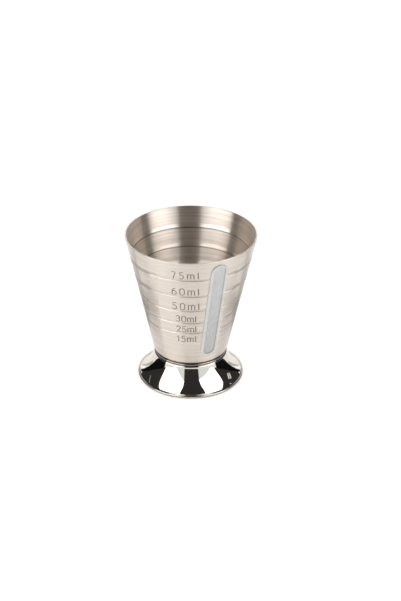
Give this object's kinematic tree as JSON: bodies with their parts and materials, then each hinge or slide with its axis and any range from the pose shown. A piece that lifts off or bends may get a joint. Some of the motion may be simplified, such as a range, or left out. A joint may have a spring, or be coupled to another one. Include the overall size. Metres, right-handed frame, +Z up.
{
  "type": "bar jigger",
  "caption": "Conical steel measuring jigger on a flared mirror foot, with volume marks pressed in as grooves and a clear sight window let into the wall.",
  "frame": {"origin": "centre of the ring that the foot stands on", "axes": "+Z up along the axis of the cup, -Y towards the sight window, +X to the right of the window as its user sees it"},
  "size_m": [0.0604, 0.0605, 0.073],
  "materials": {
    "brushed_steel": "fine horizontal brushing, warm grey",
    "mirror_steel": "mirror polish",
    "clear_plastic": "frosted, translucent",
    "clear_silicone": "translucent silicone, satin"
  },
  "bodies": {
    "root": {"measuring_cup": "brushed_steel", "flared_foot": "mirror_steel", "sight_window": "clear_plastic", "window_seal": "clear_silicone"}
  },
  "joints": []
}
